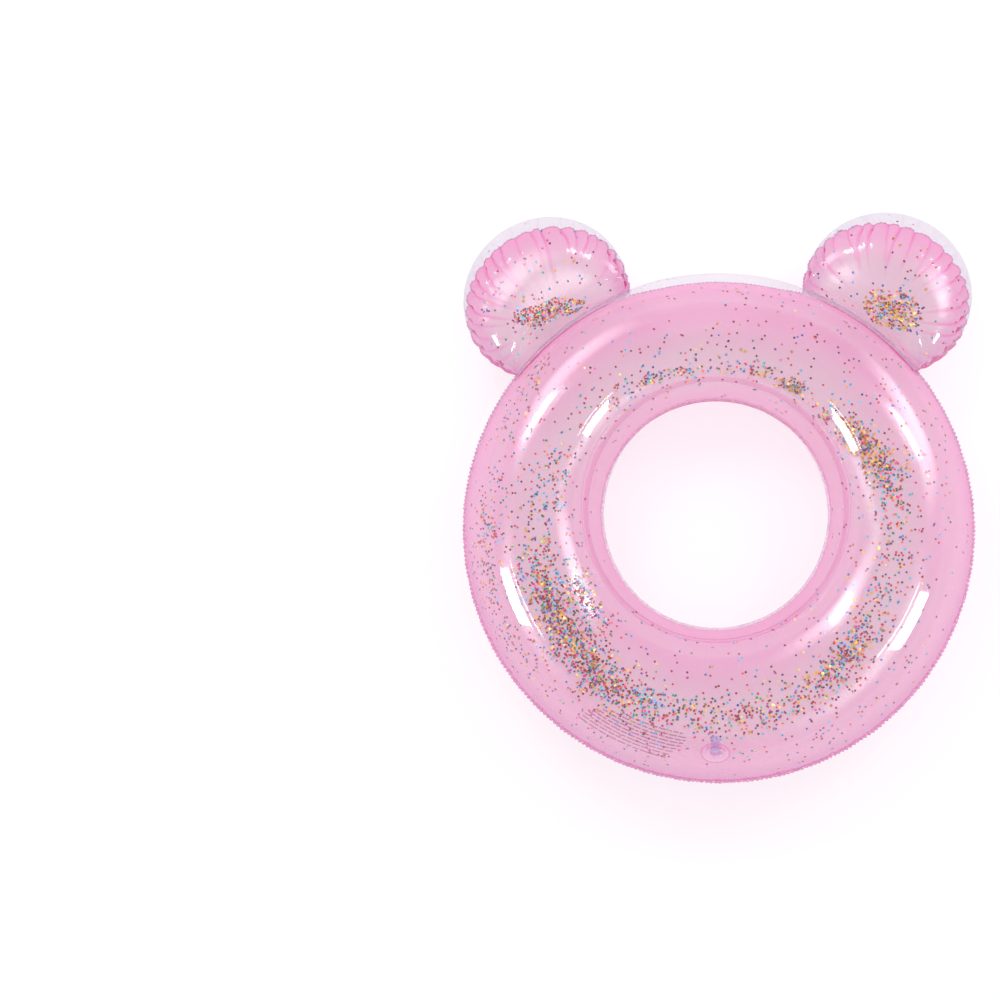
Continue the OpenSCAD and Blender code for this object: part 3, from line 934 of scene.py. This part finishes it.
# way round the ring in degrees, way across the tube in mm, spread along, spread across, count, share of gold, pile
CLUSTERS = [
    (190, 8, 24, 20, 110, 0.06, 0.4), (199, 4, 26, 15, 210, 0.14, 1.0), (208, 3, 24, 17, 250, 0.18, 1.4),
    (217, 2, 22, 18, 190, 0.16, 1.2), (225, 6, 22, 17, 170, 0.16, 1.0), (233, 11, 22, 15, 230, 0.18, 1.4),
    (243, 9, 22, 16, 120, 0.12, 0.8), (203, -42, 26, 10, 110, 0.10, 0.6), (216, -46, 22, 9, 60, 0.08, 0.4),
    (180, 69, 17, 8, 80, 0.02, 0.5), (190, 72, 20, 8, 60, 0.03, 0.4), (201, 74, 26, 7, 60, 0.05, 0.3),
    (214, 66, 26, 10, 40, 0.06, 0.3), (166, 60, 30, 14, 36, 0.02, 0.2), (141, 78, 15, 7, 46, 0.03, 0.4),
    (150, 70, 24, 10, 46, 0.02, 0.2), (170, -4, 24, 16, 70, 0.08, 0.3), (156, -8, 26, 14, 44, 0.10, 0.2),
    (29, -6, 19, 11, 210, 0.30, 1.6), (20, 5, 14, 12, 110, 0.16, 0.8), (37, -12, 16, 12, 90, 0.20, 0.8),
    (46, -20, 14, 9, 50, 0.2, 0.6), (12, 2, 16, 14, 60, 0.12, 0.4), (2, 6, 24, 18, 50, 0.06, 0.3),
    (62, -15, 11, 6, 90, 0.26, 1.2), (74, -10, 14, 7, 44, 0.14, 0.6), (86, -14, 22, 8, 26, 0.08, 0.3),
    (113, -11, 17, 5, 56, 0.12, 0.6), (101, -16, 12, 5, 24, 0.08, 0.3), (126, -10, 20, 10, 30, 0.08, 0.2),
    (352, 4, 26, 16, 40, 0.06, 0.2), (338, -2, 24, 16, 54, 0.10, 0.3), (326, 0, 20, 14, 90, 0.16, 0.6),
    (316, -3, 20, 13, 150, 0.20, 1.2), (306, 2, 22, 15, 100, 0.14, 0.8), (295, 6, 24, 16, 80, 0.12, 0.5),
    (284, 9, 22, 14, 80, 0.12, 0.5), (272, 6, 24, 15, 60, 0.10, 0.3), (262, 5, 24, 16, 80, 0.12, 0.5),
    (252, 8, 22, 16, 90, 0.12, 0.6), (305, 68, 60, 9, 40, 0.02, 0.2), (240, 70, 60, 9, 40, 0.02, 0.2),
    (25, 64, 70, 12, 44, 0.02, 0.2), (60, 60, 60, 12, 24, 0.02, 0.2),
]
EAR_PILES = {-1: (127.6, 384.0, 29.0, 9.5, 12.0, 330, 0.14), 1: (51.0, 387.0, 22.0, 17.0, -20.0, 340, 0.34)}

COLOURS = [  # name, share, what it stands for, slot, dark, light, metal
    ("dark_red_flakes", 0.35, "dark_red_glitter", "dark_red_glitter", (0.09, 0.001, 0.008), (0.38, 0.004, 0.035), 0.1),
    ("red_flakes", 0.15, "red_glitter", "red_glitter", (0.50, 0.010, 0.045), (0.85, 0.06, 0.06), 0.1),
    ("blue_flakes", 0.07, "blue_glitter", "blue_glitter", (0.004, 0.04, 0.22), (0.01, 0.17, 0.58), 0.1),
    ("sky_flakes", 0.155, "cyan_glitter", "cyan_glitter", (0.002, 0.20, 0.42), (0.01, 0.50, 0.76), 0.1),
    ("green_flakes", 0.10, "green_glitter", "green_glitter", (0.003, 0.10, 0.04), (0.01, 0.34, 0.13), 0.1),
    ("purple_flakes", 0.04, "purple_glitter", "purple_glitter", (0.09, 0.006, 0.15), (0.27, 0.03, 0.36), 0.1),
    ("magenta_flakes", 0.03, None, "purple_glitter", (0.55, 0.015, 0.22), (0.88, 0.10, 0.48), 0.1),
    ("orange_flakes", 0.065, None, "gold_foil", (0.60, 0.12, 0.015), (0.88, 0.32, 0.05), 0.1),
    ("yellow_flakes", 0.04, None, "gold_foil", (0.60, 0.42, 0.02), (0.90, 0.78, 0.07), 0.1),
]

spots = []                                     # th or x, across or y, where, gold share, height
for thd, off, sa, sc, n, gold, pile in CLUSTERS:
    n = int(n * 1.0)
    g = rng.normal(size=(n, 2)) * (0.75 + 0.5 * rng.random((n, 1)))
    th_ = math.radians(thd) + g[:, 0] * sa / RC
    of_ = off + g[:, 1] * sc
    for a_, b_ in zip(th_, of_):
        spots.append(("ring", a_, b_, gold * (1.0 if thd in (29, 37, 62, 20) else 0.55), pile))
for _ in range(700):
    spots.append(("ring", rng.uniform(0, 2 * math.pi), float(np.clip(rng.normal(8, 52), -84, 86)), 0.04, 0.0))
for _ in range(330):
    spots.append(("top", rng.uniform(0, 2 * math.pi), float(rng.uniform(-70, 86)), 0.01, 0.0))

pos, nrm, gold_p = [], [], []
for kind, a_, b_, gold, pile in spots:
    r_ = float(tube_radius(np.array(a_)))
    b_ = float(np.clip(b_, -0.965 * r_, 0.965 * r_))
    ph_ = math.acos(b_ / r_)
    sgn = -1 if kind == "ring" else 1
    if kind == "ring":
        p_, n_ = ring_surface(np.array([a_]), np.array([ph_]), -1)
        q = p_[0] - VA
        if np.linalg.norm(q - (q @ VN) * VN) < 24 and q @ VN > -60:
            continue
    else:
        p_, n_ = ring_surface(np.array([a_]), np.array([ph_]), 1)
    lift = 0.45 + pile * abs(rng.normal()) * 0.9
    t_ = rng.normal(0, 0.05 + 0.20 * min(1, pile), 3)
    m_ = -n_[0] + t_
    m_ /= np.linalg.norm(m_)
    lift += 3.0 * np.linalg.norm(np.cross(m_, n_[0]))
    pos.append(p_[0] - n_[0] * lift)
    nrm.append(m_)
    gold_p.append(gold)


def ear_spot(side, gx, gy, sign, lift, tilt):
    """A flake on an ear's film under a point of the ring's plane, or None."""
    y_ = gy / STRETCH
    ang = math.pi / 2 - side * (math.pi / 2 - EAR_AL)
    x1, y1 = gx * math.cos(ang) + y_ * math.sin(ang), -gx * math.sin(ang) + y_ * math.cos(ang)
    if math.hypot(x1 - EAR_E, y1) > EAR[side]["a"] - 3 or math.hypot(x1, y1) < ARC + 5:
        return None
    q = ear_surface(side, np.array([x1, x1 + 0.8, x1]), np.array([y1, y1, y1 + 0.8]), sign)
    n_ = np.cross(q[1] - q[0], q[2] - q[0])
    n_ /= np.linalg.norm(n_)
    if n_[2] * sign > 0:
        n_ = -n_                                # points into the ear
    m_ = n_ + rng.normal(0, tilt, 3)
    m_ /= np.linalg.norm(m_)
    return q[0] + n_ * (lift + 3.0 * np.linalg.norm(np.cross(m_, n_))), m_


for side, (thd, rho_, sx, sy, tilt_d, n, gold) in EAR_PILES.items():
    cx_, cy_ = rho_ * math.cos(math.radians(thd)), rho_ * math.sin(math.radians(thd)) * STRETCH
    ct, st_ = math.cos(math.radians(tilt_d)), math.sin(math.radians(tilt_d))
    for _ in range(n):
        g0, g1 = rng.uniform(-1, 1), rng.uniform(-1, 1)
        rr = rng.random() ** 0.62 * 1.9
        an = rng.uniform(0, 2 * math.pi)
        gx, gy = sx * rr * math.cos(an), sy * rr * math.sin(an) + 2.5 * math.sin(gx_ := sx * rr * math.cos(an) / 9)
        r_ = ear_spot(side, cx_ + gx * ct - gy * st_, cy_ + gx * st_ + gy * ct, -1, 0.5 + 2.2 * abs(rng.normal()) * (1 - min(1, rr / 2)), 0.16)
        if r_:
            pos.append(r_[0]); nrm.append(r_[1]); gold_p.append(gold)
    for k in range(120):
        an, rr = rng.uniform(0, 2 * math.pi), 104 * math.sqrt(rng.random())
        ang = math.pi / 2 - side * (math.pi / 2 - EAR_AL)
        gx = EAR_E * math.cos(ang) + rr * math.cos(an)
        gy = (EAR_E * math.sin(ang) + rr * math.sin(an)) * STRETCH
        r_ = ear_spot(side, gx, gy, -1 if k < 72 else 1, 0.5, 0.05)
        if r_:
            pos.append(r_[0]); nrm.append(r_[1]); gold_p.append(0.02)

pos, nrm, gold_p = np.array(pos), np.array(nrm), np.array(gold_p)
is_gold = rng.random(len(pos)) < gold_p
turn = rng.uniform(0, 2 * math.pi, len(pos))
size = rng.normal(1.0, 0.05, len(pos))
gi = np.where(is_gold)[0]
half_ = rng.random(len(gi)) < 0.5
gold_mat = foil_material("gold_foil", (0.40, 0.20, 0.02), (0.80, 0.47, 0.08), 0.55, 0.36)
for nm, kind, pick, stands in (("star_flakes", "star", gi[half_], "gold_stars"), ("heart_flakes", "heart", gi[~half_], "gold_hearts")):
    ob = flake_mesh(nm, kind, pos[pick], nrm[pick], turn[pick], size[pick])
    dress(ob, gold_mat, "float", [stands])
rest = np.where(~is_gold)[0]
share = np.array([c_[1] for c_ in COLOURS])
which = rng.choice(len(COLOURS), len(rest), p=share / share.sum())
for k, (nm, _, stands, slot_, dark, light, metal) in enumerate(COLOURS):
    pick = rest[which == k]
    ob = flake_mesh(nm, "dot", pos[pick], nrm[pick], turn[pick], size[pick])
    dress(ob, foil_material(nm, dark, light, metal), "float", [stands] if stands else [])


# ---------- plain grey bars on the back film, where the real one is printed ----------

bar_v, bar_f = [], []
for row, (off_, t0, t1) in enumerate([(30, 243, 261), (35, 240, 262), (39.5, 238, 262), (44, 236.5, 261.5), (48.5, 236, 261), (53, 235.5, 260.5),
                                      (57.5, 235, 259.5), (62, 235, 258.5), (67, 235, 258)]):
    t_ = t0
    while t_ < t1:
        dt = rng.uniform(0.9, 2.6)
        tt = np.radians(np.linspace(t_, min(t1, t_ + dt), 7))
        half_w = 0.85
        rows_ = []
        for o_ in (off_ - half_w, off_ + half_w):
            r_ = tube_radius(tt)
            p_, n_ = ring_surface(tt, np.arccos(np.clip(o_ / r_, -1, 1)), -1)
            rows_.append((p_ + n_ * 0.10, p_ + n_ * 0.04))
        k_ = len(bar_v) * 28
        ring_ = np.stack([rows_[0][0], rows_[1][0], rows_[1][1], rows_[0][1]], 1).reshape(-1, 3)
        bar_v.append(ring_)
        for i_ in range(6):
            for j_ in range(4):
                a_ = k_ + i_ * 4 + j_
                b_ = k_ + i_ * 4 + (j_ + 1) % 4
                bar_f.append((a_, a_ + 4, b_ + 4, b_))
        bar_f.append((k_, k_ + 1, k_ + 2, k_ + 3))
        bar_f.append((k_ + 27, k_ + 26, k_ + 25, k_ + 24))
        t_ += dt + 0.35
bars = make_mesh("printed_bars", np.concatenate(bar_v), [np.array(bar_f)])
ink, nt = new_mat("grey_ink")
tc = node(nt, "ShaderNodeTexCoord")
nz = node(nt, "ShaderNodeTexNoise")
nz.inputs["Scale"].default_value = 420.0
nt.links.new(tc.outputs["Object"], nz.inputs["Vector"])
ic = ramp(nt, nz.outputs["Fac"], [(0.3, (0.36, 0.32, 0.36)), (0.7, (0.50, 0.42, 0.47))])
pr = node(nt, "ShaderNodeBsdfPrincipled")
nt.links.new(ic, pr.inputs["Base Color"])
pr.inputs["Roughness"].default_value = 0.6
tp = node(nt, "ShaderNodeBsdfTransparent")
tp.inputs["Color"].default_value = (0.9, 0.7, 0.82, 1)
im_ = node(nt, "ShaderNodeMixShader")
im_.inputs["Fac"].default_value = 0.32
nt.links.new(tp.outputs[0], im_.inputs[1])
nt.links.new(pr.outputs[0], im_.inputs[2])
out = node(nt, "ShaderNodeOutputMaterial")
nt.links.new(im_.outputs[0], out.inputs["Surface"])
dress(bars, ink, "float")


# ---------- the valve keeps its shape and gets its material ----------

for nm in ("valve_flange", "valve_stem", "valve_plug", "plug_tether", "check_flap"):
    ob = frame["nodes"][nm]
    ob.data.materials.clear()
    ob.data.materials.append(flange_vinyl if nm == "valve_flange" else valve_vinyl)


# ---------- floor, light ----------

def plane(name, size_x, size_y, cuts=1):
    me = bpy.data.meshes.new(name)
    xs, ys = np.linspace(-size_x / 2, size_x / 2, cuts + 1), np.linspace(-size_y / 2, size_y / 2, cuts + 1)
    v = [(x_, y_, 0) for x_ in xs for y_ in ys]
    f_ = [(i * (cuts + 1) + j, (i + 1) * (cuts + 1) + j, (i + 1) * (cuts + 1) + j + 1, i * (cuts + 1) + j + 1) for i in range(cuts) for j in range(cuts)]
    me.from_pydata(v, [], f_)
    ob = bpy.data.objects.new(name, me)
    bpy.context.scene.collection.objects.link(ob)
    return ob


floor = plane("floor", 30, 30, 4)
floor.location = (0, 0, FLOOR_Z * MM - 0.0004)
fm, nt = new_mat("floor_paint")
bs = node(nt, "ShaderNodeBsdfDiffuse")
bs.inputs["Color"].default_value = (0.92, 0.92, 0.925, 1)
tc = node(nt, "ShaderNodeTexCoord")
ln = node(nt, "ShaderNodeVectorMath", operation="LENGTH")
nt.links.new(tc.outputs["Object"], ln.inputs[0])
far = node(nt, "ShaderNodeMapRange", interpolation_type="SMOOTHSTEP")
far.inputs["From Min"].default_value = 1.0
far.inputs["From Max"].default_value = 3.0
far.inputs["To Min"].default_value = 0.55
nt.links.new(ln.outputs["Value"], far.inputs["Value"])
glow = node(nt, "ShaderNodeEmission")
glow.inputs["Strength"].default_value = 0.95
fmix = node(nt, "ShaderNodeMixShader")
nt.links.new(far.outputs["Result"], fmix.inputs["Fac"])
nt.links.new(bs.outputs[0], fmix.inputs[1])
nt.links.new(glow.outputs[0], fmix.inputs[2])
gm = node(nt, "ShaderNodeNewGeometry")
under = node(nt, "ShaderNodeBsdfTransparent")
umix = node(nt, "ShaderNodeMixShader")
nt.links.new(gm.outputs["Backfacing"], umix.inputs["Fac"])
nt.links.new(fmix.outputs[0], umix.inputs[1])
nt.links.new(under.outputs[0], umix.inputs[2])
out = node(nt, "ShaderNodeOutputMaterial")
nt.links.new(umix.outputs[0], out.inputs["Surface"])
floor.data.materials.append(fm)


def softbox(name, pos_m, size_x, size_y, power, soft, roll=0.0):
    """A lit panel that faces the ring. soft is the share of its width over which it fades out."""
    ob = plane(name, size_x, size_y)
    p = Vector(pos_m)
    ob.rotation_mode = "QUATERNION"
    q = (Vector((0, 0, 0)) - p).to_track_quat("Z", "Y")
    from mathutils import Quaternion
    ob.rotation_quaternion = q @ Quaternion((0, 0, 1), roll)
    ob.location = p
    m, nt = new_mat(name)
    L = nt.links.new
    tc = node(nt, "ShaderNodeTexCoord")
    sp = node(nt, "ShaderNodeSeparateXYZ")
    L(tc.outputs["Object"], sp.inputs[0])
    prod = None
    for ax, half in (("X", size_x / 2), ("Y", size_y / 2)):
        ab = node(nt, "ShaderNodeMath", operation="ABSOLUTE")
        L(sp.outputs[ax], ab.inputs[0])
        mr = node(nt, "ShaderNodeMapRange", interpolation_type="SMOOTHERSTEP")
        mr.inputs["From Min"].default_value = half
        mr.inputs["From Max"].default_value = half * (1 - soft)
        L(ab.outputs[0], mr.inputs["Value"])
        if prod is None:
            prod = mr.outputs["Result"]
        else:
            mu = node(nt, "ShaderNodeMath", operation="MULTIPLY")
            L(prod, mu.inputs[0])
            L(mr.outputs["Result"], mu.inputs[1])
            prod = mu.outputs[0]
    st = node(nt, "ShaderNodeMath", operation="MULTIPLY")
    L(prod, st.inputs[0])
    st.inputs[1].default_value = power
    em = node(nt, "ShaderNodeEmission")
    L(st.outputs[0], em.inputs["Strength"])
    clear = node(nt, "ShaderNodeBsdfTransparent")
    both = node(nt, "ShaderNodeAddShader")
    L(em.outputs[0], both.inputs[0])
    L(clear.outputs[0], both.inputs[1])
    out = node(nt, "ShaderNodeOutputMaterial")
    L(both.outputs[0], out.inputs["Surface"])
    ob.data.materials.append(m)
    ob.visible_camera = False
    return ob


softbox("key_left", (-0.97, 1.25, 1.66), 1.7, 1.5, 6.0, 1.0)
softbox("key_right", (1.47, 1.03, 1.40), 1.7, 1.5, 6.0, 1.0)
for w in (softbox("window_right", (1.44, -0.50, 1.00), 0.48, 0.46, 26.0, 0.12),
          softbox("strip_right", (1.25, -0.43, 1.33), 0.62, 0.07, 11.0, 0.2),
          softbox("window_left", (-1.50, -0.33, 1.00), 0.48, 0.46, 26.0, 0.12),
          softbox("strip_left", (-1.30, -0.29, 1.33), 0.62, 0.07, 11.0, 0.2)):
    w.visible_diffuse = False

world = bpy.data.worlds.new("studio")
bpy.context.scene.world = world
world.use_nodes = True
nt = world.node_tree
nt.nodes.clear()
bg1 = node(nt, "ShaderNodeBackground")
bg1.inputs["Color"].default_value = (0.98, 0.98, 1.0, 1)
bg1.inputs["Strength"].default_value = 0.90
bg2 = node(nt, "ShaderNodeBackground")
bg2.inputs["Color"].default_value = (1, 1, 1, 1)
bg2.inputs["Strength"].default_value = 1.0
lp = node(nt, "ShaderNodeLightPath")
mx = node(nt, "ShaderNodeMixShader")
nt.links.new(lp.outputs["Is Camera Ray"], mx.inputs["Fac"])
nt.links.new(bg1.outputs[0], mx.inputs[1])
nt.links.new(bg2.outputs[0], mx.inputs[2])
out = node(nt, "ShaderNodeOutputWorld")
nt.links.new(mx.outputs[0], out.inputs["Surface"])

scene = bpy.context.scene
scene.view_settings.view_transform = "Standard"
scene.view_settings.look = "None"
scene.view_settings.exposure = 0.10
scene.cycles.transparent_max_bounces = 48
scene.cycles.max_bounces = 14
